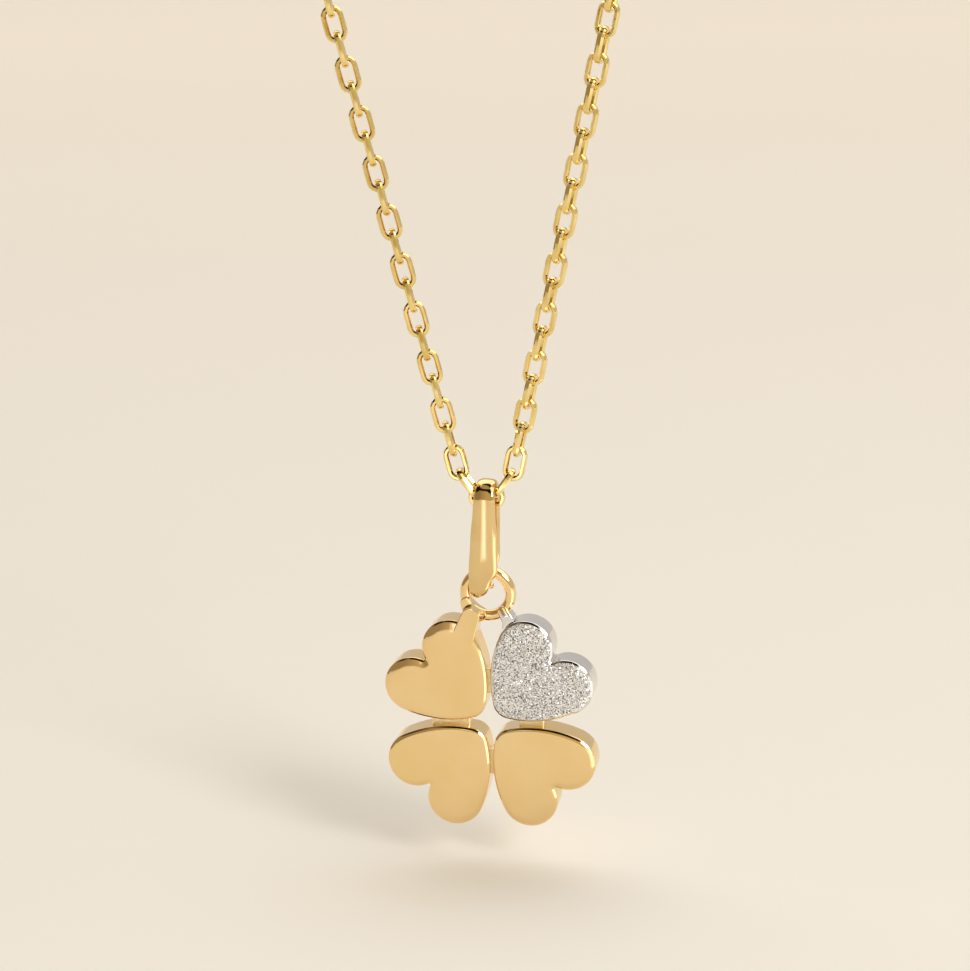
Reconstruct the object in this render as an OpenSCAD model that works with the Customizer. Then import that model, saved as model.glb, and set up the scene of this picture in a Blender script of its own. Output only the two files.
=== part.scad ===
// Four leaf clover pendant on a fine cable chain.
// Millimetres, Z up. The clover faces -Y and the whole necklace lies about the XZ plane.
// The origin is the middle of the clasp, at the top of the loop, where the necklace hangs.

/* [Clover] */
// Width and height of one heart shaped leaf
leaf_size = 5.32; // [4.8:0.02:7]
// Radius of a leaf's two round lobes
lobe_r = 1.45; // [1.3:0.05:1.6]
// Distance from a leaf's long side to the middle of the lobe beside it
lobe_side = 1.85; // [1.75:0.05:2.1]
// Radius of the long bulging sides of a leaf
flank_r = 6; // [5:0.25:8]
// Radius of the rounded point at the middle of the clover
tip_r = 0.9; // [0.5:0.05:1.1]
// Thickness of a leaf at its rim
leaf_t = 1.5; // [1:0.05:2.4]
// Height of the softly domed front over the rim
leaf_crown = 0.25; // [0.1:0.05:0.5]
// Radius of the notch between the lobes
notch_r = 0.08; // [0.04:0.02:0.2]
// Width of the rim over which the front rounds off
edge_in = 0.7; // [0.3:0.05:0.8]
// Gap between the left and the right leaves
leaf_gap = 0.18; // [0.1:0.02:0.4]
// Gap between the upper and the lower leaves
row_gap = 0.34; // [0.1:0.02:0.5]

/* [Solder] */
// Length of the solder bar between the two left leaves
long_bar_len = 2; // [1:0.1:2.4]
// Length of the other three solder bars
bar_len = 1.3; // [0.8:0.1:2]
// Depth of the solder bars, front to back
bar_depth = 0.8; // [0.4:0.1:1]
// Play between the yellow solder and the white leaf
white_play = 0.03; // [0.02:0.01:0.06]

/* [Loop] */
// Outer diameter of the round loop on top
loop_d = 2.9; // [2.7:0.1:3.6]
// Diameter of the loop's wire
loop_wire = 0.56; // [0.4:0.02:0.6]
// Height of the solder between the loop and the upper leaves
loop_solder = 0.42; // [0.2:0.02:0.6]

/* [Bail] */
// Drop of the bail, from the chain to the middle of its foot
bail_drop = 4.9; // [4.5:0.02:7]
// Greatest width of the bail, low on its front arm
bail_w = 1.5; // [1.2:0.05:1.8]
// Wall of the bail
bail_t = 0.3; // [0.24:0.02:0.36]
// Thickness of the foot that the loop hangs on
foot_t = 0.6; // [0.4:0.02:0.8]
// Slant of the foot, which is lowest in front, as a share
foot_slant = 0.3; // [0:0.05:0.4]
// Play between the chain and the top of the bail
bail_play = 0.1; // [0.08:0.01:0.2]
// Play between the loop and the bail's foot
loop_play = 0.07; // [0.05:0.01:0.15]
// Room beside the loop's wire, inside the bail's arms
arm_play = 0.18; // [0.12:0.01:0.3]
// Sideways lean of the bail, in degrees
bail_lean = 3.4; // [0:0.2:8]
// Diameter of the bead that ends the bail's foot
bead_d = 0.34; // [0.24:0.02:0.4]

/* [Chain] */
// Length of the whole necklace
necklace_len = 400; // [360:5:440]
// Outer length of a link
link_l = 1.9; // [1.8:0.05:2.2]
// Outer width of a link
link_w = 1.12; // [1.08:0.02:1.2]
// Diameter of a link's wire
link_wire = 0.26; // [0.2:0.01:0.28]
// Play between two links where they hang in each other
link_play = 0.12; // [0.08:0.01:0.16]
// Lean of a straight strand from the vertical, in degrees
strand_lean = 13.4; // [10:0.2:18]
// Lean of the link that leaves the bail, in degrees
entry_lean = 36; // [25:1:40]
// Turn of the links about their strand, in degrees
link_turn = 11.5; // [0:0.5:15]

/* [Clasp] */
// Outer diameter of the closed clasp ring
clasp_d = 5.4; // [4.5:0.1:7]
// Diameter of the clasp's tube
clasp_tube = 1; // [0.8:0.1:1.4]
// Outer diameter of the small eyes beside the clasp
eye_d = 1.9; // [1.6:0.1:2.4]
// Diameter of the eyes' wire
eye_wire = 0.4; // [0.3:0.05:0.5]

/* [Hidden] */
$fn = 48;
gold = [0.86, 0.69, 0.38];
white_gold = [0.82, 0.82, 0.84];

// Leaf outline: a tip, two long bulging sides, two lobes and a notch, all tangent arcs.
// The tip points to the corner at zero, and the leaf is alike on both sides of its diagonal.
// Lobes that lie too far apart for the notch's radius get a wider one, notch_reach past them.
notch_reach = 0.1;
lobe_far = leaf_size - lobe_r;
flat_at = lobe_far - sqrt(pow(flank_r - lobe_r, 2) - pow(flank_r - lobe_side, 2));
tip_sum = flat_at + flank_r;
tip_at = (tip_sum - sqrt(tip_sum * tip_sum - 2 * (pow(flat_at, 2) + pow(flank_r, 2)
    - pow(flank_r - tip_r, 2)))) / 2;
lobes_apart = (lobe_far - lobe_side) / sqrt(2);
notch_fill = max(notch_r, lobes_apart - lobe_r + notch_reach);
notch_at = (lobe_far + lobe_side) / 2
    + sqrt(pow(lobe_r + notch_fill, 2) - pow(lobes_apart, 2)) / sqrt(2);
tip_dir = atan2(tip_at - flank_r, tip_at - flat_at);
lobe_dir = atan2(lobe_side - flank_r, lobe_far - flat_at);
notch_dir = atan2(notch_at - lobe_side, notch_at - lobe_far);
leaf_mid = leaf_size * 0.44;

// Arcs of the outline in order. Columns: middle, radius, first and last angle, steps, and
// how the radius changes where the outline is drawn in by one.
LEAF_ARCS = [
    [[flat_at, flank_r], flank_r, tip_dir, lobe_dir, 6, -1],
    [[lobe_far, lobe_side], lobe_r, lobe_dir, notch_dir, 11, -1],
    [[notch_at, notch_at], notch_fill, 180 + notch_dir, 270 - notch_dir, 3, 1],
    [[lobe_side, lobe_far], lobe_r, 90 - notch_dir, 90 - lobe_dir, 11, -1],
    [[flank_r, flat_at], flank_r, 90 - lobe_dir, 90 - tip_dir, 6, -1],
    [[tip_at, tip_at], tip_r, 90 - tip_dir, 360 + tip_dir, 5, -1],
];

// Sections of a leaf from its flat back to its front. Columns: how far the outline is drawn
// in as a share of edge_in, and the height as shares of leaf_t and of leaf_crown.
LEAF_ROWS = [
    [0.08, 0.00, 0.0],
    [0.00, 0.05, 0.0],
    [0.00, 1.00, 0.0],
    [0.10, 1.00, 0.35],
    [0.35, 1.00, 0.62],
    [1.00, 1.00, 0.90],
];

// Loop, measured from the middle of the clover
loop_r = (loop_d - loop_wire) / 2;
lobe_x = leaf_gap / 2 + lobe_side;
lobe_z = row_gap / 2 + lobe_far;
loop_rise = lobe_z + sqrt(pow(loop_d / 2 + lobe_r + loop_solder, 2) - pow(lobe_x, 2));

// Solder: how deep the bars run into a leaf, the balls that the web under the loop is drawn
// from, where it holds the loop's wire, and the disc that it spreads to in the yellow leaf
overlap = 0.2;
web_ball = loop_wire * 0.9;
web_from = 195;
web_to = 262;
web_root = lobe_r * 0.45;
web_depth = leaf_t * 0.75;
foot_from = 305;
foot_root = lobe_r * 0.6;
foot_ball = loop_wire * 1.3;
web_sides = 24;

// Bail, measured from the point of the chain that it hangs on
// hang_share is how far the loop follows the leaning foot, foot_share is the foot's width as a
// share of bail_w, and corner_share is how much of that width meets the loop. foot_left is how
// far the foot stands to the left of the arms, as a share of bail_w.
hang_share = 0.2;
foot_share = 0.38;
corner_share = 0.8;
foot_left = 0.22;
bail_top_r = link_w / 2 + bail_play + bail_t / 2;
bail_foot_r = loop_wire / 2 + arm_play + bail_t / 2;
arm_drop = bail_drop - bail_foot_r;
arm_slope = asin((bail_top_r - bail_foot_r) / arm_drop);
foot_x = -bail_drop * sin(bail_lean) - bail_w * foot_left * cos(bail_lean);
pendant_x = foot_x * hang_share;
foot_side = abs(foot_x - pendant_x) + bail_w * foot_share / 2 * corner_share;
loop_drop = bail_drop - foot_t / 2 - loop_play
    + sqrt(pow(loop_r - loop_wire / 2, 2) - pow(foot_side, 2));

// Chain: the links stand a pitch apart, straight up the strands and then round the top
pitch = link_l - 2 * link_wire - link_play;
arc_r = (link_w - link_wire) / 2;
arc_at = (link_l - link_w) / 2;
entry_len = 2 * (pitch - arc_at);
strand_x = arc_at + entry_len * sin(entry_lean) + arc_at * sin(strand_lean);
strand_z = entry_len * cos(entry_lean) + arc_at * cos(strand_lean);
apex_len = strand_x / sin(strand_lean);
top_share = tan(strand_lean) * (90 + strand_lean) * PI / 180;
strand_run = (necklace_len / 2 - 2 * pitch - top_share * apex_len) / (1 + top_share);
top_r = (apex_len + strand_run) * tan(strand_lean);
top_z = strand_z + strand_run * cos(strand_lean) + top_r * sin(strand_lean);
strand_links = floor(strand_run / pitch) + 1;
hang_z = -top_z - top_r;
turn_links = 3;

// Tube of the hidden stretch, from the last open link to the clasp's eye
tube_gap = 0.1;
tube_step = 2.4;
tube_sides = 8;
clasp_r = (clasp_d - clasp_tube) / 2;
eye_r = (eye_d - eye_wire) / 2;
eye_x = clasp_r + clasp_tube / 2 + eye_r - eye_wire / 4;
tube_from = (strand_links - 1) * pitch + link_l / 2 + tube_gap;
tube_to = strand_run + top_r * (90 + strand_lean) * PI / 180 - eye_x - eye_d / 2 - tube_gap;
tube_rings = ceil((tube_to - tube_from) / tube_step);

// Bail sections from its top to its foot. Columns: share of the way down,
// width of the front arm and width of the back arm as shares of bail_w,
// how far the wall has grown from bail_t to foot_t, and how far the section stands to the left.
BAIL_ROWS = [
    [0.00, 0.64, 0.64, 0.0, 0.00],
    [0.22, 0.78, 0.72, 0.0, 0.00],
    [0.50, 0.92, 0.77, 0.0, 0.00],
    [0.76, 1.00, 0.84, 0.1, 0.00],
    [0.87, 0.78, 0.66, 0.3, 0.10],
    [0.95, 0.66, 0.50, 0.7, 0.15],
    [1.00, foot_share, foot_share, 1.0, foot_left],
];
top_steps = 6;
arm_steps = 8;
foot_steps = 6;
half_steps = top_steps + arm_steps + foot_steps;
bail_sides = 12;
bead_at = [bead_d * 0.45, bail_foot_r * 0.55, bead_d * 0.5 - bail_drop];

// The leaf's outline drawn in by some distance, at a height over the back
function leaf_ring(in, z) = [for (arc = LEAF_ARCS, k = [0 : arc[4] - 1])
    let (a = arc[2] + (arc[3] - arc[2]) * k / arc[4], r = arc[1] + arc[5] * in)
    [arc[0].x + r * cos(a), arc[0].y + r * sin(a), z]];

function route_turned(s) = max(0, s - strand_run) / top_r * 180 / PI;
function route_lean(s) = strand_lean - route_turned(s);
function route_at(s) = s < strand_run
    ? [strand_x + s * sin(strand_lean), strand_z + s * cos(strand_lean)]
    : [top_r * cos(route_lean(s)), top_z - top_r * sin(route_lean(s))];

function bail_normal(i) = i <= top_steps ? 90 - i / top_steps * (90 + arm_slope)
    : i <= top_steps + arm_steps ? -arm_slope
    : -arm_slope - (i - top_steps - arm_steps) / foot_steps * (90 - arm_slope);
function bail_down(i) = min(max((i - top_steps) / arm_steps, 0), 1);
function bail_mid(i) =
    let (a = bail_normal(i), d = bail_down(i), r = bail_top_r + d * (bail_foot_r - bail_top_r))
    [r * cos(a), r * sin(a) - d * arm_drop];
function smooth(f) = f * f * (3 - 2 * f);
function row_value(q, column, k = 0) = q <= BAIL_ROWS[k + 1][0] || k == len(BAIL_ROWS) - 2
    ? let (a = BAIL_ROWS[k], b = BAIL_ROWS[k + 1], f = (q - a[0]) / (b[0] - a[0]))
        a[column] + smooth(f) * (b[column] - a[column])
    : row_value(q, column, k + 1);
function bail_share(i) = let (z = bail_mid(i).y) (bail_top_r - z) / (bail_top_r + bail_drop);
function signed_pow(v, e) = sign(v) * pow(abs(v), e);

// One ring of the bail: side is -1 on the front arm and 1 on the back arm
function bail_ring(i, side) =
    let (
        q = bail_share(i),
        a = bail_normal(i),
        m = bail_mid(i),
        w = bail_w * row_value(q, side < 0 ? 1 : 2),
        t = bail_t + (foot_t - bail_t) * row_value(q, 3),
        left = bail_w * row_value(q, 4)
    )
    [for (k = [0 : bail_sides - 1])
        let (
            b = 360 * k / bail_sides,
            out = t / 2 * signed_pow(sin(b), sin(b) > 0 ? 1 : 0.5)
        )
        let (y = side * (m.x + out * cos(a)), drop = foot_slant * y * smooth(bail_down(i)))
        [w / 2 * signed_pow(cos(b), 0.8) - left, y, m.y + out * sin(a) + drop]];

// Quads between the rings of a swept shape. The last ring meets the first if it is closed.
function band(rings, sides, closed) = [for (i = [0 : rings - (closed ? 1 : 2)], k = [0 : sides - 1])
    let (j = (i + 1) % rings, n = (k + 1) % sides)
    for (f = [[i * sides + k, j * sides + k, i * sides + n],
              [i * sides + n, j * sides + k, j * sides + n]]) f];

// A leaf to the upper right of the clover's middle, with its domed front towards -Y
module leaf() {
    rings = [for (row = LEAF_ROWS) leaf_ring(edge_in * row[0], leaf_t * row[1] + leaf_crown * row[2])];
    sides = len(rings[0]);
    last = (len(rings) - 1) * sides;
    translate([leaf_gap / 2, leaf_t / 2, row_gap / 2]) rotate([90, 0, 0]) polyhedron(
        concat([for (r = rings) each r], [[leaf_mid, leaf_mid, leaf_t + leaf_crown]]),
        concat(
            [[for (k = [0 : sides - 1]) k]],
            band(len(rings), sides, false),
            [for (k = [0 : sides - 1]) [last + (k + 1) % sides, last + k, last + sides]]
        )
    );
}

// A solder bar along X across a gap between two leaves, which may stop short of the upper
// leaf. The other gap sets how far out it lies.
module solder_bar(length, gap, other_gap, short = 0) {
    low = -gap / 2 - overlap;
    high = short > 0 ? gap / 2 - short : gap / 2 + overlap;
    translate([other_gap / 2 + flat_at - length / 2, -bar_depth / 2, low])
        cube([length, bar_depth, high - low]);
}

module loop() {
    translate([0, 0, loop_rise]) rotate([90, 0, 0])
        rotate_extrude() translate([loop_r, 0]) circle(d = loop_wire);
}

// A point on the loop's wire, at an angle from +X
module on_loop(a) {
    translate([loop_r * cos(a), 0, loop_rise + loop_r * sin(a)]) children();
}

// Solder from the loop down into the yellow leaf, and a foot on the white leaf's side
module loop_feet() {
    difference() {
        union() {
            hull() {
                on_loop(web_from) sphere(d = web_ball, $fn = web_sides);
                on_loop(web_to) sphere(d = web_ball, $fn = web_sides);
                translate([web_root - lobe_x, 0, lobe_z + web_root]) rotate([90, 0, 0])
                    cylinder(r = web_root, h = web_depth, center = true, $fn = web_sides);
            }
            hull() {
                on_loop(foot_from) sphere(d = web_ball, $fn = web_sides);
                translate([lobe_x - foot_root, 0, lobe_z + foot_root])
                    sphere(d = foot_ball, $fn = web_sides);
            }
        }
        translate([0, 0, loop_rise]) rotate([90, 0, 0])
            cylinder(r = loop_r - loop_wire / 4, h = 2 * leaf_t, center = true);
        translate([lobe_x, 0, lobe_z]) rotate([90, 0, 0])
            cylinder(r = lobe_r + white_play, h = 2 * leaf_t, center = true);
    }
}

module place_clover() {
    translate([pendant_x, 0, hang_z - loop_drop - loop_rise]) children();
}

module clover() {
    color(gold) place_clover() {
        mirror([1, 0, 0]) leaf();
        mirror([0, 0, 1]) leaf();
        mirror([1, 0, 0]) mirror([0, 0, 1]) leaf();
        mirror([1, 0, 0]) solder_bar(long_bar_len, row_gap, leaf_gap);
        solder_bar(bar_len, row_gap, leaf_gap, white_play);
        rotate([0, 90, 0]) solder_bar(bar_len, leaf_gap, row_gap);
        rotate([0, -90, 0]) mirror([0, 0, 1])
            solder_bar(bar_len, leaf_gap, row_gap, white_play);
        loop();
        loop_feet();
    }
}

module white_leaf() {
    color(white_gold) place_clover() leaf();
}

module bail() {
    rings = concat(
        [for (i = [0 : half_steps]) bail_ring(i, -1)],
        [for (i = [half_steps - 1 : -1 : 1]) bail_ring(i, 1)]
    );
    color(gold) translate([0, 0, hang_z]) rotate([0, bail_lean, 0]) {
        polyhedron([for (r = rings) each r], band(len(rings), bail_sides, true));
        translate(bead_at) sphere(d = bead_d);
    }
}

// One open link: an oval of round wire, long along Z and flat to the XZ plane
module link() {
    rotate([90, 0, 0]) for (side = [-1, 1]) {
        translate([0, side * arc_at, 0]) rotate([0, 0, side > 0 ? 0 : 180])
            rotate_extrude(angle = 180) translate([arc_r, 0]) circle(d = link_wire);
        translate([side * arc_r, 0, 0]) rotate([90, 0, 0])
            cylinder(d = link_wire, h = 2 * arc_at, center = true);
    }
}

// A link at x and z from the bail's chain point, leaning over and turned about its length
module place_link(at, lean, turn) {
    translate([at.x, 0, at.y]) rotate([0, lean, 0]) rotate([0, 0, turn]) link();
}

module strand() {
    place_link([arc_at + entry_len / 2 * sin(entry_lean), entry_len / 2 * cos(entry_lean)],
        entry_lean, 90);
    for (i = [0 : strand_links - 1])
        place_link(route_at(i * pitch), route_lean(i * pitch),
            90 * (i % 2) - link_turn * min((i + 1) / turn_links, 1));
}

module chain_front() {
    color(gold) translate([0, 0, hang_z]) {
        place_link([0, 0], 90, 0);
        strand();
        mirror([1, 0, 0]) strand();
    }
}

function tube_ring(s) =
    let (p = route_at(s), a = route_lean(s))
    [for (k = [0 : tube_sides - 1])
        let (b = 360 * k / tube_sides, across = link_w / 2 * cos(b))
        [p.x + across * cos(a), link_w / 2 * sin(b), p.y - across * sin(a)]];

module hidden_strand() {
    rings = [for (i = [0 : tube_rings]) tube_ring(tube_from + (tube_to - tube_from) * i / tube_rings)];
    n = len(rings);
    polyhedron(
        [for (r = rings) each r],
        concat(
            band(n, tube_sides, false),
            [[for (k = [0 : tube_sides - 1]) k]],
            [[for (k = [tube_sides - 1 : -1 : 0]) (n - 1) * tube_sides + k]]
        )
    );
}

module chain_back() {
    color(gold) translate([0, 0, hang_z]) {
        hidden_strand();
        mirror([1, 0, 0]) hidden_strand();
    }
}

module clasp() {
    color(gold) rotate([90, 0, 0]) {
        rotate_extrude() translate([clasp_r, 0]) circle(d = clasp_tube);
        for (side = [-1, 1]) translate([side * eye_x, -pow(eye_x, 2) / (2 * top_r), 0])
            rotate_extrude() translate([eye_r, 0]) circle(d = eye_wire);
    }
}

clover();
white_leaf();
bail();
chain_front();
chain_back();
clasp();
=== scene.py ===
import bmesh
import bpy
import math
from mathutils import Matrix, Vector


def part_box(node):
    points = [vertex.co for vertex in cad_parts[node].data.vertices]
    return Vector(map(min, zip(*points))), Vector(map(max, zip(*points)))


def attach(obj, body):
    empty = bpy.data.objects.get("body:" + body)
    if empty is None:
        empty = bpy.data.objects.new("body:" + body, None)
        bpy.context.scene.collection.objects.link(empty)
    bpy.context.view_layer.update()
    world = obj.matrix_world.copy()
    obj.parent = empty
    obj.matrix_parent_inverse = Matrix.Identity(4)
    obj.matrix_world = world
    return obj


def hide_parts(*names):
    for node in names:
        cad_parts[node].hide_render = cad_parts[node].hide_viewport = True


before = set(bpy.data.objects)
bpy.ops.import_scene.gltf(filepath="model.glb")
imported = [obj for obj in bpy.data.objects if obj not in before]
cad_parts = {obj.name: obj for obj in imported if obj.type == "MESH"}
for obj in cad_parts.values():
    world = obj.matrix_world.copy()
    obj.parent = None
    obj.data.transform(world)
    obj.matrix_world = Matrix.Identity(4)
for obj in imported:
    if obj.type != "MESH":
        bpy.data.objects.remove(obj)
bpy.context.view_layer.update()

mm = 0.001  # pieces are modelled in millimetres and scaled down when they are finished

cloverMiddle = Vector((-0.1240, 0, -187.873))
loopRise = 6.7342             # from the clover's middle to the middle of the round loop
hinge = Vector((0, 0, -176.0915))  # middle of the link that the bail hangs on

# camera

cameraPlace = {
    "azimuth": 11.0,      # degrees to the right of the front
    "elevation": 14.0,    # degrees above the pendant
    "roll": 2.1,          # degrees
    "distance": 155.0,    # from the hinge
    "lens": 113.8, "sensor": 36.0,
    "pixelsRight": 2.0,   # where the hinge lies from the middle of the picture
    "pixelsDown": 11.5,
    "pictureHigh": 971,
}


def makeCamera():
    c = cameraPlace
    a, e, roll = (math.radians(c[k]) for k in ("azimuth", "elevation", "roll"))
    back = Vector((math.sin(a) * math.cos(e), -math.cos(a) * math.cos(e), math.sin(e)))
    right = Vector((math.cos(a), math.sin(a), 0))
    up = back.cross(right)
    right, up = (right * math.cos(roll) - up * math.sin(roll),
                 up * math.cos(roll) + right * math.sin(roll))
    pixel = c["distance"] / (c["lens"] / c["sensor"] * c["pictureHigh"])
    place = hinge + back * c["distance"]
    place += (up * c["pixelsDown"] - right * c["pixelsRight"]) * pixel
    bpy.ops.object.camera_add()
    camera = bpy.context.object
    camera.matrix_world = Matrix((
        (right.x, up.x, back.x, place.x * mm),
        (right.y, up.y, back.y, place.y * mm),
        (right.z, up.z, back.z, place.z * mm),
        (0, 0, 0, 1)))
    camera.data.lens = c["lens"]
    camera.data.sensor_width = c["sensor"]
    camera.data.clip_start = 0.01
    camera.data.clip_end = 20
    bpy.context.scene.camera = camera


makeCamera()
print("camera placed")

# helpers for modelling


def clearSelection():
    if bpy.context.object and bpy.context.object.mode != "OBJECT":
        bpy.ops.object.mode_set(mode="OBJECT")
    bpy.ops.object.select_all(action="DESELECT")


def pick(*things):
    clearSelection()
    for thing in things:
        thing.select_set(True)
    bpy.context.view_layer.objects.active = things[0]
    return things[0]


def editMode():
    bpy.ops.object.mode_set(mode="EDIT")


def objectMode():
    bpy.ops.object.mode_set(mode="OBJECT")


def selectFaces(piece, test):
    # test gets a face's middle and its normal
    bpy.ops.mesh.select_all(action="DESELECT")
    bpy.ops.mesh.select_mode(type="FACE")
    shape = bmesh.from_edit_mesh(piece.data)
    for face in shape.faces:
        face.select_set(test(face.calc_center_median(), face.normal))
    bmesh.update_edit_mesh(piece.data)


def moveSelected(piece, rule):
    shape = bmesh.from_edit_mesh(piece.data)
    for v in shape.verts:
        if v.select:
            v.co = rule(v.co)
    bmesh.update_edit_mesh(piece.data)


def cleanNormals():
    bpy.ops.mesh.select_all(action="SELECT")
    bpy.ops.mesh.remove_doubles(threshold=0.0005)
    bpy.ops.mesh.normals_make_consistent(inside=False)


def useModifier(piece, kind, **settings):
    pick(piece)
    modifier = piece.modifiers.new(kind.title(), kind)
    for key, value in settings.items():
        setattr(modifier, key, value)
    bpy.ops.object.modifier_apply(modifier=modifier.name)


def copyPiece(piece, name):
    twin = piece.copy()
    twin.data = piece.data.copy()
    twin.name = name
    bpy.context.collection.objects.link(twin)
    return twin


def joinPieces(name, things):
    pick(*things)
    if len(things) > 1:
        bpy.ops.object.join()
    things[0].name = name
    return things[0]


def bakePlace(piece):
    pick(piece)
    bpy.ops.object.transform_apply(location=True, rotation=True, scale=True)


def paintPart(piece, material, partMaterial, test):
    # the faces that pass the test get the second material
    piece.data.materials.append(material)
    piece.data.materials.append(partMaterial)
    pick(piece)
    editMode()
    selectFaces(piece, test)
    piece.active_material_index = 1
    bpy.ops.object.material_slot_assign()
    objectMode()


def finishPiece(piece, name, body, slotName, *materials, smooth=None):
    # scales a finished piece down to metres and hangs it on its body
    piece.name = name
    piece.data.name = name
    piece.scale = (mm, mm, mm)
    bakePlace(piece)
    if smooth is None:
        bpy.ops.object.shade_smooth()
    else:
        bpy.ops.object.shade_smooth_by_angle(angle=math.radians(smooth))
    for material in materials:
        if material.name not in [m.name for m in piece.data.materials if m]:
            piece.data.materials.append(material)
    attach(piece, body)
    return piece


def sweepRings(name, rings, closed):
    # a circle is laid on the first ring and extruded from ring to ring
    sides = len(rings[0])
    bpy.ops.mesh.primitive_circle_add(vertices=sides, radius=1,
                                      fill_type="NOTHING" if closed else "NGON")
    piece = bpy.context.object
    piece.name = name
    for v, spot in zip(piece.data.vertices, rings[0]):
        v.co = spot
    editMode()
    bpy.ops.mesh.select_mode(type="VERT")
    bpy.ops.mesh.select_all(action="SELECT")
    wanted = rings[1:] + ([rings[0]] if closed else [])
    last = rings[0]
    for ring in wanted:
        bpy.ops.mesh.extrude_region_move()
        moveSelected(piece, lambda co: ring[min(range(sides),
                                                key=lambda k: (last[k] - co).length_squared)])
        last = ring
    cleanNormals()
    objectMode()
    return piece


# materials


def newMaterial(name):
    material = bpy.data.materials.new(name)
    material.use_nodes = True
    return material, material.node_tree, material.node_tree.nodes["Principled BSDF"]


def addNode(tree, kind, inputs=None, **settings):
    node = tree.nodes.new(kind)
    for key, value in settings.items():
        setattr(node, key, value)
    for key, value in (inputs or {}).items():
        if isinstance(value, bpy.types.NodeSocket):
            tree.links.new(value, node.inputs[key])
        else:
            node.inputs[key].default_value = value
    return node


goldLook = {
    "light": (0.93, 0.69, 0.36, 1),
    "deep": (0.89, 0.65, 0.30, 1),
    "cloudScale": 420.0,           # per metre, so patches of a few millimetres
    "cloudSpread": (0.3, 0.62),    # where the clouds turn from deep to light
    "smudgeScale": 3.1,            # times the scale of the clouds
    "smudgeSpread": (0.35, 0.7),
    "roughLow": 0.045,
    "roughHigh": 0.11,
    "swellScale": 2.0,             # times the scale of the clouds
    "swellHeight": 0.010,          # mm, of the slight unevenness of the polish
    "swellStrength": 0.5,
}


def makeMetal(name, look):
    material, tree, shader = newMaterial(name)
    place = addNode(tree, "ShaderNodeTexCoord").outputs["Object"]
    clouds = addNode(tree, "ShaderNodeTexNoise",
                     {"Vector": place, "Scale": look["cloudScale"], "Detail": 3.0})
    tint = addNode(tree, "ShaderNodeValToRGB", {"Fac": clouds.outputs["Fac"]})
    for end, at, shade in zip(tint.color_ramp.elements, look["cloudSpread"], ("deep", "light")):
        end.position = at
        end.color = look[shade]
    tree.links.new(tint.outputs["Color"], shader.inputs["Base Color"])
    smudges = addNode(tree, "ShaderNodeTexNoise",
                      {"Vector": place, "Scale": look["cloudScale"] * look["smudgeScale"],
                       "Detail": 5.0})
    low, high = look["smudgeSpread"]
    rough = addNode(tree, "ShaderNodeMapRange",
                    {"Value": smudges.outputs["Fac"], "From Min": low, "From Max": high,
                     "To Min": look["roughLow"], "To Max": look["roughHigh"]})
    tree.links.new(rough.outputs["Result"], shader.inputs["Roughness"])
    swell = addNode(tree, "ShaderNodeTexNoise",
                    {"Vector": place, "Scale": look["cloudScale"] * look["swellScale"],
                     "Detail": 2.0})
    bump = addNode(tree, "ShaderNodeBump",
                   {"Height": swell.outputs["Fac"], "Distance": look["swellHeight"] * mm,
                    "Strength": look["swellStrength"]})
    tree.links.new(bump.outputs["Normal"], shader.inputs["Normal"])
    shader.inputs["Metallic"].default_value = 1.0
    return material


polishedGold = makeMetal("polishedGold", goldLook)

# painted shade: the bail's gold is made darker and browner than the rest of the gold, which it
# matches under any lamp
bailPaintedShadeLook = dict(goldLook, light=(0.82, 0.60, 0.29, 1), deep=(0.72, 0.50, 0.21, 1))
bailPaintedShadeGold = makeMetal("bailPaintedShadeGold", bailPaintedShadeLook)

chainGoldLook = dict(goldLook, light=(0.94, 0.75, 0.34, 1), deep=(0.79, 0.58, 0.19, 1),
                     cloudScale=900.0, roughLow=0.06, roughHigh=0.12)
chainGold = makeMetal("chainGold", chainGoldLook)

solderLook = dict(goldLook, light=(0.98, 0.84, 0.56, 1), deep=(0.93, 0.74, 0.42, 1),
                  cloudScale=2600.0, roughLow=0.30, roughHigh=0.50, swellHeight=0.05)
solderGold = makeMetal("solderGold", solderLook)

whiteLook = dict(goldLook, light=(0.80, 0.79, 0.79, 1), deep=(0.70, 0.69, 0.69, 1))
polishedWhite = makeMetal("polishedWhite", whiteLook)

sparkleLook = {
    "grain": 18500.0,   # grains per metre
    "tilt": 0.75,       # how far the grains lean
    "dark": (0.14, 0.145, 0.155, 1), "darkAt": 0.05,   # share of the grains
    "middle": (0.68, 0.69, 0.73, 1), "middleAt": 0.35,
    "light": (0.98, 0.99, 1.0, 1), "lightAt": 0.85,
    "metal": 0.55,
    "rough": 0.18,
}


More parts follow.
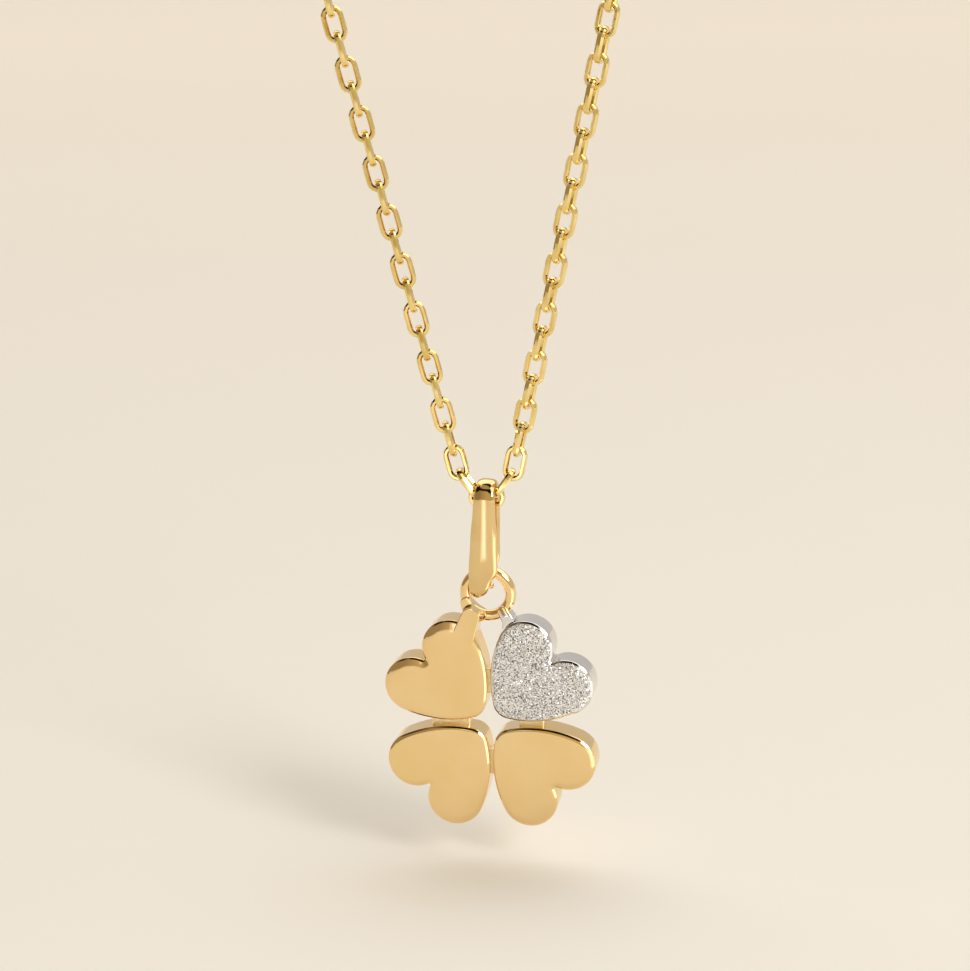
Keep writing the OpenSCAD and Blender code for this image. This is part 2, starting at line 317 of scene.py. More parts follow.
def makeSparkle(name, look):
    # each grain left by the diamond point leans its own way and has its own brightness
    material, tree, shader = newMaterial(name)
    place = addNode(tree, "ShaderNodeTexCoord").outputs["Object"]
    grains = addNode(tree, "ShaderNodeTexVoronoi", {"Vector": place, "Scale": look["grain"]})
    lean = addNode(tree, "ShaderNodeVectorMath",
                   {0: grains.outputs["Color"], 1: (0.5, 0.5, 0.5)}, operation="SUBTRACT")
    leanMore = addNode(tree, "ShaderNodeVectorMath",
                       {0: lean.outputs["Vector"], "Scale": look["tilt"]}, operation="SCALE")
    normal = addNode(tree, "ShaderNodeNewGeometry").outputs["Normal"]
    leaning = addNode(tree, "ShaderNodeVectorMath",
                      {0: normal, 1: leanMore.outputs["Vector"]}, operation="ADD")
    unit = addNode(tree, "ShaderNodeVectorMath", {0: leaning.outputs["Vector"]},
                   operation="NORMALIZE")
    tree.links.new(unit.outputs["Vector"], shader.inputs["Normal"])
    pits = addNode(tree, "ShaderNodeTexWhiteNoise", {"Vector": grains.outputs["Position"]})
    tint = addNode(tree, "ShaderNodeValToRGB", {"Fac": pits.outputs["Value"]})
    ramp = tint.color_ramp
    ramp.elements[0].position, ramp.elements[0].color = look["darkAt"], look["dark"]
    ramp.elements[1].position, ramp.elements[1].color = look["lightAt"], look["light"]
    ramp.elements.new(look["middleAt"]).color = look["middle"]
    tree.links.new(tint.outputs["Color"], shader.inputs["Base Color"])
    shader.inputs["Metallic"].default_value = look["metal"]
    shader.inputs["Roughness"].default_value = look["rough"]
    return material


sparkleWhite = makeSparkle("sparkleWhite", sparkleLook)
print("materials made")

# leaves of the clover

leafSize = {
    "size": 5.32,
    "lobeRadius": 1.45,
    "lobeSide": 1.85,
    "flankRadius": 6.0,
    "tipRadius": 0.9,
    "notchRadius": 0.08,
    "thickness": 1.5,
    "gap": 0.18, "rowGap": 0.34,   # between left and right leaves, and between the rows
    "wallRing": 0.06,         # from the wall's edges to the rings that keep them sharp
    "backBevel": ((0.02, 0.035), (0.05, 0.015)),   # width and depth of its two steps
    "insets": (0.015, 0.035, 0.035, 0.025, 0.03, 0.06, 0.08, 0.10, 0.11, 0.11, 0.10),
    "fillFrom": 1.6,          # every part of the outline is seen from here
    "fillShrinks": (0.92, 0.92, 0.90, 0.88, 0.85, 0.80, 0.70, 0.50),
    "middle": 2.25,           # where the front is highest
    "edgeRise": 0.082, "edgeWidth": 0.11,
    "rimRiseAtTip": 0.02, "rimRiseAtLobes": 0.12,
    "rimWidthAtTip": 0.28, "rimWidthAtLobes": 0.80,
    "rimGrowth": 1.9, "rimStart": 0.35,   # how the roll off grows from the tip to the lobes
    "rimPower": 2.2,
    "domeRise": 0.06, "domeWidth": 3.0,
    "upperRoll": 1.0,         # how much the upper left leaf rolls off at its lobes
    "otherRoll": 0.3,         # the same for the three others
    "sparkleFacing": 0.86,    # how squarely a face looks forward where it sparkles
}


def leafArcs():
    # a tip, two long bulging sides, two lobes and a notch: middle, radius, angles and steps
    s = leafSize
    far, side = s["size"] - s["lobeRadius"], s["lobeSide"]
    lobe, flank, tip, notch = (s[k] for k in ("lobeRadius", "flankRadius", "tipRadius",
                                              "notchRadius"))
    flat = far - math.sqrt((flank - lobe) ** 2 - (flank - side) ** 2)
    total = flat + flank
    tipAt = (total - math.sqrt(total ** 2 - 2 * (flat ** 2 + flank ** 2
                                                 - (flank - tip) ** 2))) / 2
    notchAt = (far + side) / 2 + math.sqrt(
        (lobe + notch) ** 2 - (far - side) ** 2 / 2) / math.sqrt(2)
    tipTurn = math.atan2(tipAt - flank, tipAt - flat)
    lobeTurn = math.atan2(side - flank, far - flat)
    notchTurn = math.atan2(notchAt - side, notchAt - far)
    quarter = math.pi / 2
    return [
        (flat, flank, flank, tipTurn, lobeTurn, 12),
        (far, side, lobe, lobeTurn, notchTurn, 22),
        (notchAt, notchAt, notch, 2 * quarter + notchTurn, 3 * quarter - notchTurn, 10),
        (side, far, lobe, quarter - notchTurn, quarter - lobeTurn, 22),
        (flank, flat, flank, quarter - lobeTurn, quarter - tipTurn, 12),
        (tipAt, tipAt, tip, quarter - tipTurn, 4 * quarter + tipTurn, 10),
    ]


def inwardAt(x, z):
    # distance from the leaf's outline
    nearest = leafSize["size"]
    for cx, cz, radius, start, end in (arc[:5] for arc in leafArcs()):
        turn = math.atan2(z - cz, x - cx) - min(start, end)
        if turn % (2 * math.pi) <= abs(end - start):
            nearest = min(nearest, abs(math.hypot(x - cx, z - cz) - radius))
    return nearest


def leafFront(x, z, roll):
    # height of the domed front over the rim: a chamfer, a roll off that is wide at the
    # lobes, and a slight dome over the whole leaf
    s = leafSize
    inward = inwardAt(x, z)
    way = (x + z) / (2 * s["size"])
    toLobes = roll * min(max(way * s["rimGrowth"] - s["rimStart"], 0), 1)
    width = s["rimWidthAtTip"] + toLobes * (s["rimWidthAtLobes"] - s["rimWidthAtTip"])
    height = s["rimRiseAtTip"] + toLobes * (s["rimRiseAtLobes"] - s["rimRiseAtTip"])
    rise = s["edgeRise"] * min(inward / s["edgeWidth"], 1)
    past = max(inward - s["edgeWidth"], 0) / (width - s["edgeWidth"])
    rise += height * (1 - max(1 - past, 0) ** s["rimPower"])
    off = (x - s["middle"]) ** 2 + (z - s["middle"]) ** 2
    return rise + s["domeRise"] * max(1 - off / s["domeWidth"] ** 2, 0)


def modelLeaf():
    # the leaf to the upper right of the clover's middle, which lies at the origin
    s = leafSize
    arcs = leafArcs()
    bpy.ops.mesh.primitive_plane_add(size=1)
    leaf = bpy.context.object
    editMode()
    bpy.ops.mesh.select_mode(type="VERT")
    bpy.ops.mesh.select_all(action="SELECT")
    bpy.ops.mesh.merge(type="CENTER")
    cx, cz, radius, start, end, steps = arcs[0]
    bevelDeep = sum(deep for wide, deep in s["backBevel"])
    back = s["thickness"] / 2 - bevelDeep
    moveSelected(leaf, lambda co: Vector((cx + radius * math.cos(start), back,
                                          cz + radius * math.sin(start))))
    for cx, cz, radius, start, end, steps in arcs:
        bpy.ops.mesh.spin(steps=steps, angle=end - start, center=(cx, back, cz), axis=(0, 1, 0))
    bpy.ops.mesh.select_all(action="SELECT")
    bpy.ops.mesh.remove_doubles(threshold=0.001)
    bpy.ops.mesh.edge_face_add()
    ring = s["wallRing"]
    for step in (ring, s["thickness"] - bevelDeep - 2 * ring, ring):
        bpy.ops.mesh.extrude_region_move(TRANSFORM_OT_translate={"value": (0, -step, 0)})
    cleanNormals()
    front = -s["thickness"] / 2
    selectFaces(leaf, lambda middle, normal: normal.y > 0.9 and middle.y > back - 0.01)
    for wide, deep in s["backBevel"]:
        bpy.ops.mesh.inset(thickness=wide, depth=deep)
    selectFaces(leaf, lambda middle, normal: normal.y < -0.9 and middle.y < front + 0.01)
    for step in s["insets"]:
        bpy.ops.mesh.inset(thickness=step, depth=0)
    middle = Vector((s["fillFrom"], front, s["fillFrom"]))
    for shrink in s["fillShrinks"]:
        bpy.ops.mesh.extrude_region_move()
        moveSelected(leaf, lambda co: middle + (co - middle) * shrink)
    bpy.ops.mesh.poke()
    objectMode()
    useModifier(leaf, "SUBSURF", levels=1, render_levels=1)
    return leaf


def raiseFront(leaf, roll):
    front = -leafSize["thickness"] / 2
    for v in leaf.data.vertices:
        if v.co.y < front + 0.03:
            v.co.y -= leafFront(v.co.x, v.co.z, roll)
    return leaf


def placeOnClover(piece, turn):
    # turns a leaf a number of quarters about the clover's middle
    piece.rotation_euler = (0, -math.pi / 2 * turn, 0)
    bakePlace(piece)
    across, up = leafSize["gap"] / 2, leafSize["rowGap"] / 2
    piece.location = cloverMiddle + Vector((across if turn in (0, 3) else -across, 0,
                                            up if turn in (0, 1) else -up))
    bakePlace(piece)
    return piece


leaf = modelLeaf()
goldLeaves = joinPieces("goldLeaves", [
    placeOnClover(raiseFront(copyPiece(leaf, "upperLeft"), leafSize["upperRoll"]), 1),
    placeOnClover(raiseFront(copyPiece(leaf, "lowerLeft"), leafSize["otherRoll"]), 2),
    placeOnClover(raiseFront(copyPiece(leaf, "lowerRight"), leafSize["otherRoll"]), 3),
])
finishPiece(goldLeaves, "goldLeaves", "pendant", "polished_gold", polishedGold)

whiteLeaf = placeOnClover(raiseFront(leaf, leafSize["otherRoll"]), 0)
paintPart(whiteLeaf, polishedWhite, sparkleWhite,
          lambda middle, normal: normal.y < -leafSize["sparkleFacing"])
finishPiece(whiteLeaf, "whiteLeaf", "pendant", "sparkling_white", polishedWhite, sparkleWhite)
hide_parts("white_leaf")
print("leaves modelled")

# solder between the leaves

solderSize = {
    "longBar": 2.0,
    "bar": 1.3,
    "depth": 0.8,
    "reach": 0.2,        # into a leaf
    "whitePlay": 0.03,   # short of the white leaf
    "at": 2.0045,        # from a leaf's corner to the middle of a bar
    "bevel": 0.02,
}


def modelBar(length, gap, otherGap, short=0.0):
    # a bar along X across the gap below the leaf to the upper right
    s = solderSize
    low = -gap / 2 - s["reach"]
    high = gap / 2 - short if short else -low
    bpy.ops.mesh.primitive_cube_add(size=1, location=(s["at"] + otherGap / 2, 0, (low + high) / 2),
                                    scale=(length, s["depth"], high - low))
    bar = bpy.context.object
    editMode()
    bpy.ops.mesh.subdivide(number_cuts=3)
    bpy.ops.mesh.select_all(action="SELECT")
    bpy.ops.mesh.bevel(offset=s["bevel"], segments=1)
    objectMode()
    bakePlace(bar)
    useModifier(bar, "SUBSURF", levels=1, render_levels=1)
    return bar


across, between = leafSize["gap"], leafSize["rowGap"]
bars = [modelBar(solderSize["longBar"], between, across),
        modelBar(solderSize["bar"], between, across, solderSize["whitePlay"]),
        modelBar(solderSize["bar"], across, between),
        modelBar(solderSize["bar"], across, between, solderSize["whitePlay"])]
flips = (Matrix.Scale(-1, 4, Vector((1, 0, 0))),
         Matrix.Identity(4),
         Matrix.Rotation(math.radians(90), 4, "Y"),
         Matrix(((0, 0, 1, 0), (0, 1, 0, 0), (1, 0, 0, 0), (0, 0, 0, 1))))
for bar, flip in zip(bars, flips):
    bar.data.transform(Matrix.Translation(cloverMiddle) @ flip)
solder = joinPieces("solderBars", bars)
pick(solder)
editMode()
cleanNormals()
objectMode()
finishPiece(solder, "solderBars", "pendant", "polished_gold", solderGold)

# round loop on top and the solder that holds it

loopSize = {
    "outer": 2.9,
    "wire": 0.56,
    "voxel": 0.03, "smoothing": 16,
    "solderIn": 0.44,     # wire widths from the wire's middle in to where the solder ends
    # rows of discs that solder is drawn over: place or angle on the loop, radius, front, rear
    "web": ((((-1.20, 4.70), 0.58, -0.95, 0.58), ((-0.80, 5.72), 0.47, -0.93, 0.42)),
            (((-0.84, 5.74), 0.42, -0.42, 0.42), (202, 0.31, -0.40, 0.28)),
            (((-0.80, 5.72), 0.45, -0.80, 0.42), (252, 0.28, -0.42, 0.28))),
    "foot": (((312, 0.28, -0.36, 0.30), ((1.08, 5.36), 0.31, -0.48, 0.44),
              ((1.02, 4.95), 0.28, -0.44, 0.42)),),
    "whiteBelow": 5.78,   # top of the pale solder, from the clover's middle
}


def onLoop(angle):
    r = (loopSize["outer"] - loopSize["wire"]) / 2
    a = math.radians(angle)
    return Vector((r * math.cos(a), 0, loopRise + r * math.sin(a)))


def ballAt(spot, radius):
    bpy.ops.mesh.primitive_uv_sphere_add(segments=20, ring_count=12, radius=radius, location=spot)
    ball = bpy.context.object
    bakePlace(ball)
    return ball


def discAt(spot, radius, front, rear):
    if not isinstance(spot, tuple):
        onWire = onLoop(spot)
        spot = (onWire.x, onWire.z)
    bpy.ops.mesh.primitive_cylinder_add(
        vertices=32, radius=radius, depth=rear - front,
        location=(spot[0], (front + rear) / 2, spot[1]), rotation=(math.pi / 2, 0, 0))
    disc = bpy.context.object
    bakePlace(disc)
    return disc


def modelSolder(name, rows):
    # neighbours in a row are joined by hulls, and the whole is melted together
    webs = []
    for row in rows:
        for first, second in zip(row, row[1:]):
            web = joinPieces(name, [discAt(*first), discAt(*second)])
            editMode()
            bpy.ops.mesh.select_all(action="SELECT")
            bpy.ops.mesh.convex_hull()
            objectMode()
            webs.append(web)
    web = joinPieces(name, webs)
    useModifier(web, "REMESH", mode="VOXEL", voxel_size=loopSize["voxel"])
    useModifier(web, "SMOOTH", factor=0.5, iterations=loopSize["smoothing"])
    return web


def cutRound(piece, x, z, radius):
    bpy.ops.mesh.primitive_cylinder_add(vertices=96, radius=radius, depth=4,
                                        location=(x, 0, z), rotation=(math.pi / 2, 0, 0))
    cutter = bpy.context.object
    bakePlace(cutter)
    useModifier(piece, "BOOLEAN", operation="DIFFERENCE", object=cutter, solver="EXACT")
    bpy.data.objects.remove(cutter)


def modelLoop():
    # the loop's hole and the white leaf's lobe stay free of solder
    s, leafs = loopSize, leafSize
    middle = (s["outer"] - s["wire"]) / 2
    bpy.ops.mesh.primitive_torus_add(major_radius=middle, minor_radius=s["wire"] / 2,
                                     major_segments=96, minor_segments=28,
                                     location=(0, 0, loopRise), rotation=(math.pi / 2, 0, 0))
    loop = bpy.context.object
    bakePlace(loop)
    web, foot = modelSolder("web", s["web"]), modelSolder("foot", s["foot"])
    for piece in (web, foot):
        cutRound(piece, 0, loopRise, middle - s["wire"] * s["solderIn"])
    cutRound(foot, leafs["lobeSide"] + leafs["gap"] / 2,
             leafs["size"] - leafs["lobeRadius"] + leafs["rowGap"] / 2,
             leafs["lobeRadius"] + solderSize["whitePlay"])
    for piece in (loop, web):
        piece.data.materials.append(polishedGold)
    paintPart(foot, polishedGold, polishedWhite,
              lambda middle, normal: middle.z < s["whiteBelow"])
    joined = joinPieces("topLoop", [foot, loop, web])
    joined.location = cloverMiddle
    bakePlace(joined)
    return joined


topLoop = finishPiece(modelLoop(), "topLoop", "pendant", "polished_gold", polishedGold, smooth=50)
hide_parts("clover")
print("loop and solder modelled")

# bail

bailSize = {
    "drop": 4.9, "width": 1.5,
    "wall": 0.3, "foot": 0.60,   # thickness above and at the foot
    "lean": 3.4,                 # degrees
    "topRadius": 0.81,     # of the middle of its wall
    "footRadius": 0.61,
    "footSlant": 0.3,      # lowest in front
    "bulge": 0.09,         # of the arms' outsides, beyond the wall
    "innerPower": 0.5, "acrossPower": 0.85,   # how square the section is inside and across
    "bead": 0.34,
    "beadAt": (0.255, 0.3355, -4.73),   # from the hinge, before the bail leans
    "sides": 24,
    "topSteps": 10, "armSteps": 18, "footSteps": 12,
    # share of the way down, width of the front and of the back arm, growth of the wall,
    # and how far the section stands to the left
    "rows": ((0.00, 0.64, 0.64, 0.0, 0.0), (0.22, 0.78, 0.72, 0.0, 0.0),
             (0.50, 0.92, 0.77, 0.0, 0.0), (0.76, 1.00, 0.84, 0.1, 0.0),
             (0.87, 0.78, 0.66, 0.3, 0.10), (0.95, 0.66, 0.50, 0.7, 0.15),
             (1.00, 0.38, 0.38, 1.0, 0.22)),
}


def bailRow(share, column):
    rows = bailSize["rows"]
    for a, b in zip(rows, rows[1:]):
        if share <= b[0] or b is rows[-1]:
            f = min(max((share - a[0]) / (b[0] - a[0]), 0), 1)
            return a[column] + f * f * (3 - 2 * f) * (b[column] - a[column])


def bailRing(i, side):
    s = bailSize
    armDrop = s["drop"] - s["footRadius"]
    slope = math.asin((s["topRadius"] - s["footRadius"]) / armDrop)
    top, arm = s["topSteps"], s["armSteps"]
    if i <= top:
        turn = math.pi / 2 - i / top * (math.pi / 2 + slope)
    elif i <= top + arm:
        turn = -slope
    else:
        turn = -slope - (i - top - arm) / s["footSteps"] * (math.pi / 2 - slope)
    down = min(max((i - top) / arm, 0), 1)
    radius = s["topRadius"] + down * (s["footRadius"] - s["topRadius"])
    y, z = radius * math.cos(turn), radius * math.sin(turn) - down * armDrop
    share = (s["topRadius"] - z) / (s["topRadius"] + s["drop"])
    width = s["width"] * bailRow(share, 1 if side < 0 else 2)
    wall = s["wall"] + (s["foot"] - s["wall"]) * bailRow(share, 3)
    left = s["width"] * bailRow(share, 4)
    ring = []
    for k in range(s["sides"]):
        b = 2 * math.pi * k / s["sides"]
        sn, cs = math.sin(b), math.cos(b)
        out = wall / 2 * math.copysign(abs(sn) ** (1 if sn > 0 else s["innerPower"]), sn)
        out += s["bulge"] * math.sin(math.pi * min(share, 1)) * max(sn, 0)
        across = width / 2 * math.copysign(abs(cs) ** s["acrossPower"], cs)
        outY = side * (y + out * math.cos(turn))
        slant = s["footSlant"] * outY * down * down * (3 - 2 * down)
        ring.append(Vector((across - left, outY, z + out * math.sin(turn) + slant)))
    return ring


def modelBail():
    s = bailSize
    half = s["topSteps"] + s["armSteps"] + s["footSteps"]
    rings = [bailRing(i, -1) for i in range(half + 1)]
    rings += [bailRing(i, 1) for i in range(half - 1, 0, -1)]
    bail = sweepRings("bail", rings, True)
    bead = ballAt(s["beadAt"], s["bead"] / 2)
    useModifier(bail, "SUBSURF", levels=1, render_levels=1)
    bail = joinPieces("bail", [bail, bead])
    bail.rotation_euler = (0, math.radians(s["lean"]), 0)
    bail.location = hinge
    bakePlace(bail)
    return bail


# the bail wears the gold with painted shade
bail = finishPiece(modelBail(), "bailDrop", "bail", "polished_gold", bailPaintedShadeGold)
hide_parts("bail")
print("bail modelled")

# chain

chainSize = {
    "length": 1.9, "width": 1.12, "wire": 0.26,
    "across": 0.36,          # of the wire, square to the plane of its link
    "pitch": 1.26,
    "lean": 13.4,            # degrees, of the straight strands
    "entryLean": 36.0, "entryLength": 1.74,
    "turn": 11.5,            # degrees, of the links about their strand
    "start": (1.5031, 1.7871),   # middle of the first strand link, from the hinge
    "straight": 136.154, "topRadius": 33.982,
    "openLinks": 109,        # on each straight strand
    "hiddenLinks": 45, "hiddenPitch": 1.2638,
    "seenLinks": 24,         # on each strand, from the bail up
    "seenFacets": (8, 8), "otherFacets": (5, 6),   # along a bend and round the wire
    "settle": 3,             # links at each end of a strand over which the turn sets in
}


def strandSpot(s):
    c = chainSize
    lean = math.radians(c["lean"])
    if s < c["straight"]:
        return (c["start"][0] + s * math.sin(lean), c["start"][1] + s * math.cos(lean), lean)
    topZ = c["start"][1] + c["straight"] * math.cos(lean) + c["topRadius"] * math.sin(lean)
    lean -= (s - c["straight"]) / c["topRadius"]
    return (c["topRadius"] * math.cos(lean), topZ - c["topRadius"] * math.sin(lean), lean)


def modelLink(bends, sides):
    # an open oval of wire whose sides are cut flat, long along Z and flat to the XZ plane
    c = chainSize
    bend = (c["width"] - c["wire"]) / 2
    straight = (c["length"] - c["width"]) / 2
    path = []
    for end in (1, -1):
        for k in range(bends + 1):
            a = math.pi * k / bends
            path.append((end * bend * math.cos(a), end * (straight + bend * math.sin(a)),
                         end * math.cos(a), end * math.sin(a)))
    rings = []
    for x, z, nx, nz in path:
        ring = []
        for k in range(sides):
            b = 2 * math.pi * (k + 0.5) / sides
            out = c["wire"] / 2 * math.cos(b) / math.cos(math.pi / sides)
            out = min(out, c["wire"] / 2)
            ring.append(Vector((x + nx * out, c["across"] / 2 * math.sin(b), z + nz * out)))
        rings.append(ring)
    return sweepRings("link", rings, True)


def placeLink(proto, x, z, lean, turn, side):
    # side is 1 for the right strand and -1 for its mirror image
    link = copyPiece(proto, "chainLink")
    place = (Matrix.Translation(hinge) @ Matrix.Scale(side, 4, Vector((1, 0, 0)))
             @ Matrix.Translation((x, 0, z)) @ Matrix.Rotation(lean, 4, "Y")
             @ Matrix.Rotation(math.radians(turn), 4, "Z"))
    link.data.transform(place)
    return link


def modelChain():
    c = chainSize
    fine, plain = modelLink(*c["seenFacets"]), modelLink(*c["otherFacets"])
    links = [placeLink(fine, 0, 0, math.pi / 2, 0, 1)]
    straight = (c["length"] - c["width"]) / 2
    entry = math.radians(c["entryLean"])
    total = c["openLinks"] + c["hiddenLinks"]
    for side in (1, -1):
        links.append(placeLink(fine, straight + c["entryLength"] / 2 * math.sin(entry),
                               c["entryLength"] / 2 * math.cos(entry), entry, 90, side))
        for i in range(total):
            s = i * c["pitch"]
            if i >= c["openLinks"]:
                s = (c["openLinks"] - 1) * c["pitch"] + (i - c["openLinks"] + 1) * c["hiddenPitch"]
            x, z, lean = strandSpot(s)
            settle = min((i + 1) / c["settle"], (total - i) / c["settle"], 1)
            turn = 90 * (i % 2) - c["turn"] * settle
            links.append(placeLink(fine if i < c["seenLinks"] else plain, x, z, lean, turn, side))
    for proto in (fine, plain):
        bpy.data.objects.remove(proto)
    chain = joinPieces("chain", links)
    editMode()
    bpy.ops.mesh.select_all(action="SELECT")
    bpy.ops.mesh.normals_make_consistent(inside=False)
    objectMode()
    return chain


chain = finishPiece(modelChain(), "chainLinks", "necklace", "chain_gold", chainGold, smooth=32)
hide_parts("chain_front", "chain_back")
print("chain modelled")

# clasp

claspSize = {
    "outer": 5.4, "tube": 1.0,
    "eyeOuter": 1.9, "eyeWire": 0.4, "eyeAt": 3.35,
    "voxel": 0.045, "smoothing": 6,
}


def modelClasp():
    s = claspSize
    parts = []
    for x, outer, wire, around in ((0, s["outer"], s["tube"], 96),
                                   (-s["eyeAt"], s["eyeOuter"], s["eyeWire"], 48),
                                   (s["eyeAt"], s["eyeOuter"], s["eyeWire"], 48)):
        z = -x * x / (2 * chainSize["topRadius"])
        bpy.ops.mesh.primitive_torus_add(major_radius=(outer - wire) / 2, minor_radius=wire / 2,
                                         major_segments=around, minor_segments=20,
                                         location=(x, 0, z), rotation=(math.pi / 2, 0, 0))
        parts.append(bpy.context.object)
        bakePlace(bpy.context.object)
    clasp = joinPieces("clasp", parts)
    useModifier(clasp, "REMESH", mode="VOXEL", voxel_size=s["voxel"])
    useModifier(clasp, "SMOOTH", factor=0.5, iterations=s["smoothing"])
    return clasp


clasp = finishPiece(modelClasp(), "claspRing", "necklace", "chain_gold", chainGold)
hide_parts("clasp")
print("clasp modelled")

# floor, light and surroundings

studio = {
    "floorDrop": 2.1,                 # mm under the lowest leaf
    "floorTint": (0.83, 0.797, 0.734, 1),
    "floorCloud": (0.85, 0.82, 0.76, 1), "floorRough": 0.8,
    # painted light: the floor is painted lighter and whiter towards the back, reaching this tint
    # at this distance
    "farPaintedLight": (1.0, 0.92, 0.81, 1), "farAway": 0.42,   # metres behind the pendant
    "keyAzimuth": 48.0, "keyElevation": 30.0, "keyDistance": 0.45,
    "keySize": 0.14, "keyPower": 0.85, "keyTint": (1.0, 0.96, 0.90),
    "backdrop": (0.86, 0.79, 0.68, 1), "backdropAway": 3.6,   # metres
    # the dim front of the surroundings, by height: 0 is level and 1 is overhead
    "dimAzimuth": -35.0,              # where its middle stands
    "dimBlend": (0.10, 0.32),
    "floorGlow": (0.84, 0.75, 0.62, 1), "glowTop": 0.02,
    "dimWall": (0.34, 0.27, 0.18, 1), "dimWallRight": (0.62, 0.49, 0.28, 1),
    "dimLow": 0.06, "dimHigh": 0.77, "rightBlend": (-0.40, 0.0),
    "gap": (0.01, 0.01, 0.01, 1), "gapLow": 0.81, "gapHigh": 0.90,
    "gapAt": 0.86, "gapMiddle": 0.19,   # to the sides of its middle the gap comes lower
    "sideBlend": (0.2, 1.0), "sideLift": 0.52,
    "overhead": (0.45, 0.38, 0.28, 1), "overheadFrom": 0.93,
    # the rest of them
    "backWall": (0.64, 0.60, 0.55, 1), "backWallTop": 0.45,
    "ceiling": (1.75, 1.70, 1.62, 1), "ceilingFrom": 0.60, "ceilingTo": 0.93, "zenith": 0.97,
    # small lights that glint in the polish: azimuth, height aimed at over the floor,
    # distance, width and length (mm), brightness and colour
    "glints": (("stripLight", -8.5, 15.2, 15.0, 1.7, 8.4, 0.8, (0.8, 1.0, 1.5)),
               ("stripHalo", -8.5, 15.2, 15.0, 3.6, 9.0, 0.35, (0.9, 0.9, 0.9)),
               ("edgeLight", 52.0, 6.2, 16.0, 8.0, 12.0, 0.7, (1.0, 1.0, 1.2)),
               ("edgeHalo", 54.0, 6.2, 16.0, 15.0, 13.0, 0.4, (1.0, 0.9, 0.8))),
}


def makeFloor():
    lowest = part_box("clover")[0].z
    bpy.ops.mesh.primitive_plane_add(size=8, location=(0, 0, lowest - studio["floorDrop"] * mm))
    floor = bpy.context.object
    floor.name = "floor"
    material, tree, shader = newMaterial("paleFloor")
    place = addNode(tree, "ShaderNodeTexCoord").outputs["Object"]
    clouds = addNode(tree, "ShaderNodeTexNoise", {"Vector": place, "Scale": 30.0, "Detail": 4.0})
    near = addNode(tree, "ShaderNodeMixRGB", {"Fac": clouds.outputs["Fac"],
                                              "Color1": studio["floorTint"],
                                              "Color2": studio["floorCloud"]})
    # painted light: the floor's tint turns lighter and whiter further behind the pendant
    depth = addNode(tree, "ShaderNodeSeparateXYZ", {"Vector": place})
    away = addNode(tree, "ShaderNodeMapRange", {"Value": depth.outputs["Y"], "From Min": 0.0,
                                                "From Max": studio["farAway"]})
    tint = addNode(tree, "ShaderNodeMixRGB", {"Fac": away.outputs["Result"],
                                              "Color1": near.outputs["Color"],
                                              "Color2": studio["farPaintedLight"]})
    tree.links.new(tint.outputs["Color"], shader.inputs["Base Color"])
    shader.inputs["Roughness"].default_value = studio["floorRough"]
    shader.inputs["Specular IOR Level"].default_value = 0.1
    floor.data.materials.append(material)


def makeBackdrop():
    # a pale round wall that only the camera sees
    bpy.ops.mesh.primitive_uv_sphere_add(segments=48, ring_count=24,
                                         radius=studio["backdropAway"])
    wall = bpy.context.object
    wall.name = "backdrop"
    material, tree, shader = newMaterial("paleWall")
    tree.nodes.remove(shader)
    glow = addNode(tree, "ShaderNodeEmission", {"Color": studio["backdrop"]})
    tree.links.new(glow.outputs["Emission"], tree.nodes["Material Output"].inputs["Surface"])
    wall.data.materials.append(material)
    for kind in ("diffuse", "glossy", "shadow", "transmission", "volume_scatter"):
        setattr(wall, "visible_" + kind, False)


def makeRamp(tree, height, stops):
    node = addNode(tree, "ShaderNodeValToRGB", {"Fac": height})
    ramp = node.color_ramp
    ramp.elements[0].position, ramp.elements[0].color = stops[0]
    ramp.elements[1].position, ramp.elements[1].color = stops[-1]
    for spot, tint in stops[1:-1]:
        ramp.elements.new(spot).color = tint
    return node.outputs["Color"]


def makeBlend(tree, value, ends, low=0.0, high=1.0):
    node = addNode(tree, "ShaderNodeMapRange", {"Value": value, "From Min": ends[0],
                                                "From Max": ends[1], "To Min": low,
                                                "To Max": high})
    return node.outputs["Result"]


def makeSum(tree, operation, first, second=0.0):
    node = addNode(tree, "ShaderNodeMath", {0: first, 1: second}, operation=operation)
    return node.outputs["Value"]


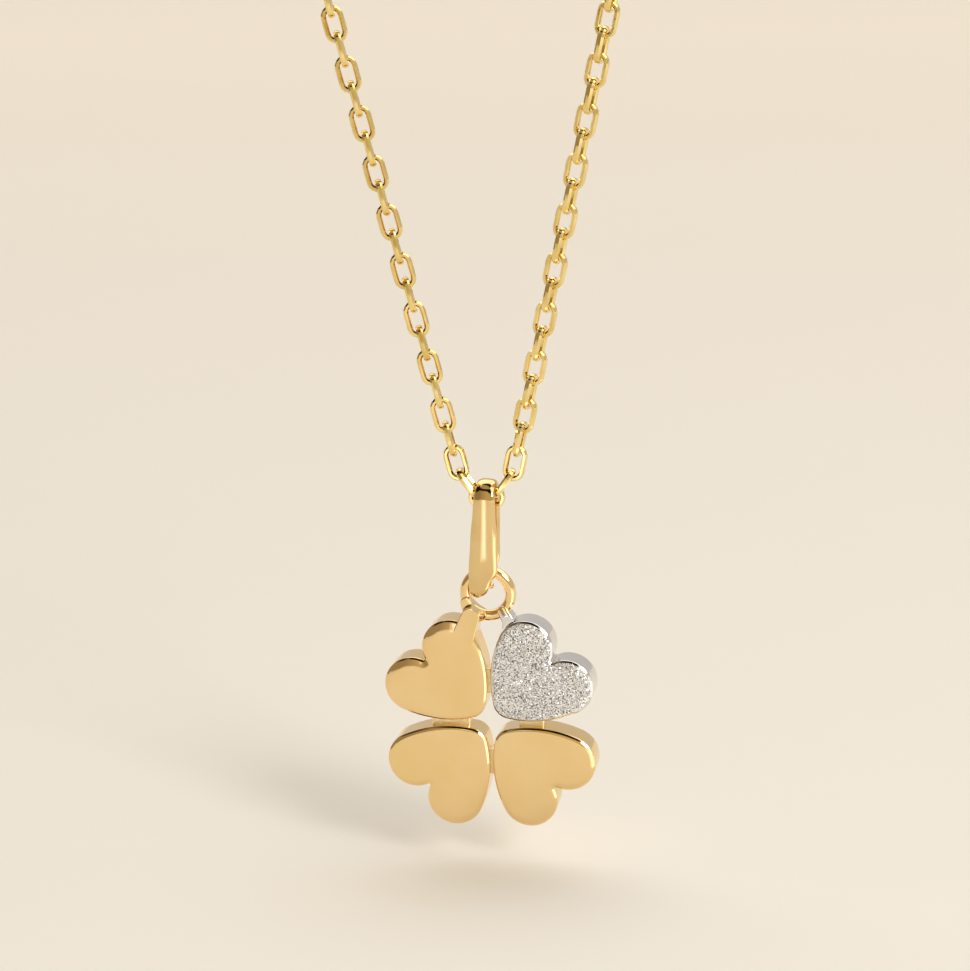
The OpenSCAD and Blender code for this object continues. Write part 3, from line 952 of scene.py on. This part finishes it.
def makeAir():
    # pale surroundings under a bright top, dim in front and to the left, with a dark gap above
    s = studio
    world = bpy.data.worlds.new("paleAir")
    bpy.context.scene.world = world
    world.use_nodes = True
    tree = world.node_tree
    tree.nodes.clear()
    direction = addNode(tree, "ShaderNodeTexCoord").outputs["Generated"]
    parts = addNode(tree, "ShaderNodeSeparateXYZ", {"Vector": direction})
    x, y, z = (parts.outputs[k] for k in "XYZ")
    aside = makeSum(tree, "ABSOLUTE", makeSum(tree, "ADD", x, s["gapMiddle"]))
    lift = makeBlend(tree, aside, s["sideBlend"], 0.0, s["sideLift"])
    lifted = makeSum(tree, "MINIMUM", makeSum(tree, "ADD", z, lift), s["gapAt"])
    lifted = makeSum(tree, "MAXIMUM", lifted, z)
    left, right = (makeRamp(tree, lifted, (
        (s["glowTop"], s["floorGlow"]), (s["dimLow"], s[wall]), (s["dimHigh"], s[wall]),
        (s["gapLow"], s["gap"]), (s["gapHigh"], s["gap"]),
        (s["overheadFrom"], s["overhead"]))) for wall in ("dimWall", "dimWallRight"))
    front = addNode(tree, "ShaderNodeMixRGB", {"Fac": makeBlend(tree, x, s["rightBlend"]),
                                               "Color1": left, "Color2": right})
    around = makeRamp(tree, z, (
        (0.0, s["backWall"]), (s["backWallTop"], s["backWall"]),
        (s["ceilingFrom"], s["ceiling"]), (s["ceilingTo"], s["ceiling"]),
        (s["zenith"], s["gap"])))
    flat = addNode(tree, "ShaderNodeCombineXYZ", {"X": x, "Y": y})
    unit = addNode(tree, "ShaderNodeVectorMath", {0: flat.outputs["Vector"]},
                   operation="NORMALIZE")
    a = math.radians(s["dimAzimuth"])
    facing = addNode(tree, "ShaderNodeVectorMath",
                     {0: unit.outputs["Vector"], 1: (math.sin(a), -math.cos(a), 0)},
                     operation="DOT_PRODUCT")
    mix = addNode(tree, "ShaderNodeMixRGB", {
        "Fac": makeBlend(tree, facing.outputs["Value"], s["dimBlend"]),
        "Color1": around, "Color2": front.outputs["Color"]})
    glow = addNode(tree, "ShaderNodeBackground", {"Color": mix.outputs["Color"]})
    addNode(tree, "ShaderNodeOutputWorld", {"Surface": glow.outputs["Background"]})


def makeKey():
    s = studio
    a, e = math.radians(s["keyAzimuth"]), math.radians(s["keyElevation"])
    towards = Vector((math.sin(a) * math.cos(e), -math.cos(a) * math.cos(e), math.sin(e)))
    bpy.ops.object.light_add(type="AREA", location=cloverMiddle * mm + towards * s["keyDistance"])
    key = bpy.context.object
    key.rotation_euler = towards.to_track_quat("Z", "Y").to_euler()
    key.data.size = s["keySize"]
    key.data.energy = s["keyPower"]
    key.data.color = s["keyTint"]
    key.visible_camera = False


def makeGlint(name, azimuth, aim, distance, width, length, brightness, colour):
    # a level light that shows in what the metal mirrors, and lights up nothing else
    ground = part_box("clover")[0].z / mm - studio["floorDrop"]
    a = math.radians(azimuth)
    towards = Vector((math.sin(a), -math.cos(a), 0))
    place = (Vector((cloverMiddle.x, 0, ground + aim)) + towards * distance) * mm
    bpy.ops.object.light_add(type="AREA", location=place)
    glint = bpy.context.object
    glint.name = name
    glint.rotation_euler = towards.to_track_quat("Z", "Y").to_euler()
    glint.data.shape = "RECTANGLE"
    glint.data.size, glint.data.size_y = width * mm, length * mm
    glint.data.energy = brightness * math.pi * width * length * mm * mm
    glint.data.color = colour
    for kind in ("camera", "diffuse", "transmission", "volume_scatter"):
        setattr(glint, "visible_" + kind, False)


makeFloor()
makeBackdrop()
makeAir()
makeKey()
for glint in studio["glints"]:
    makeGlint(*glint)
bpy.context.scene.view_settings.view_transform = "Standard"
print("studio set")
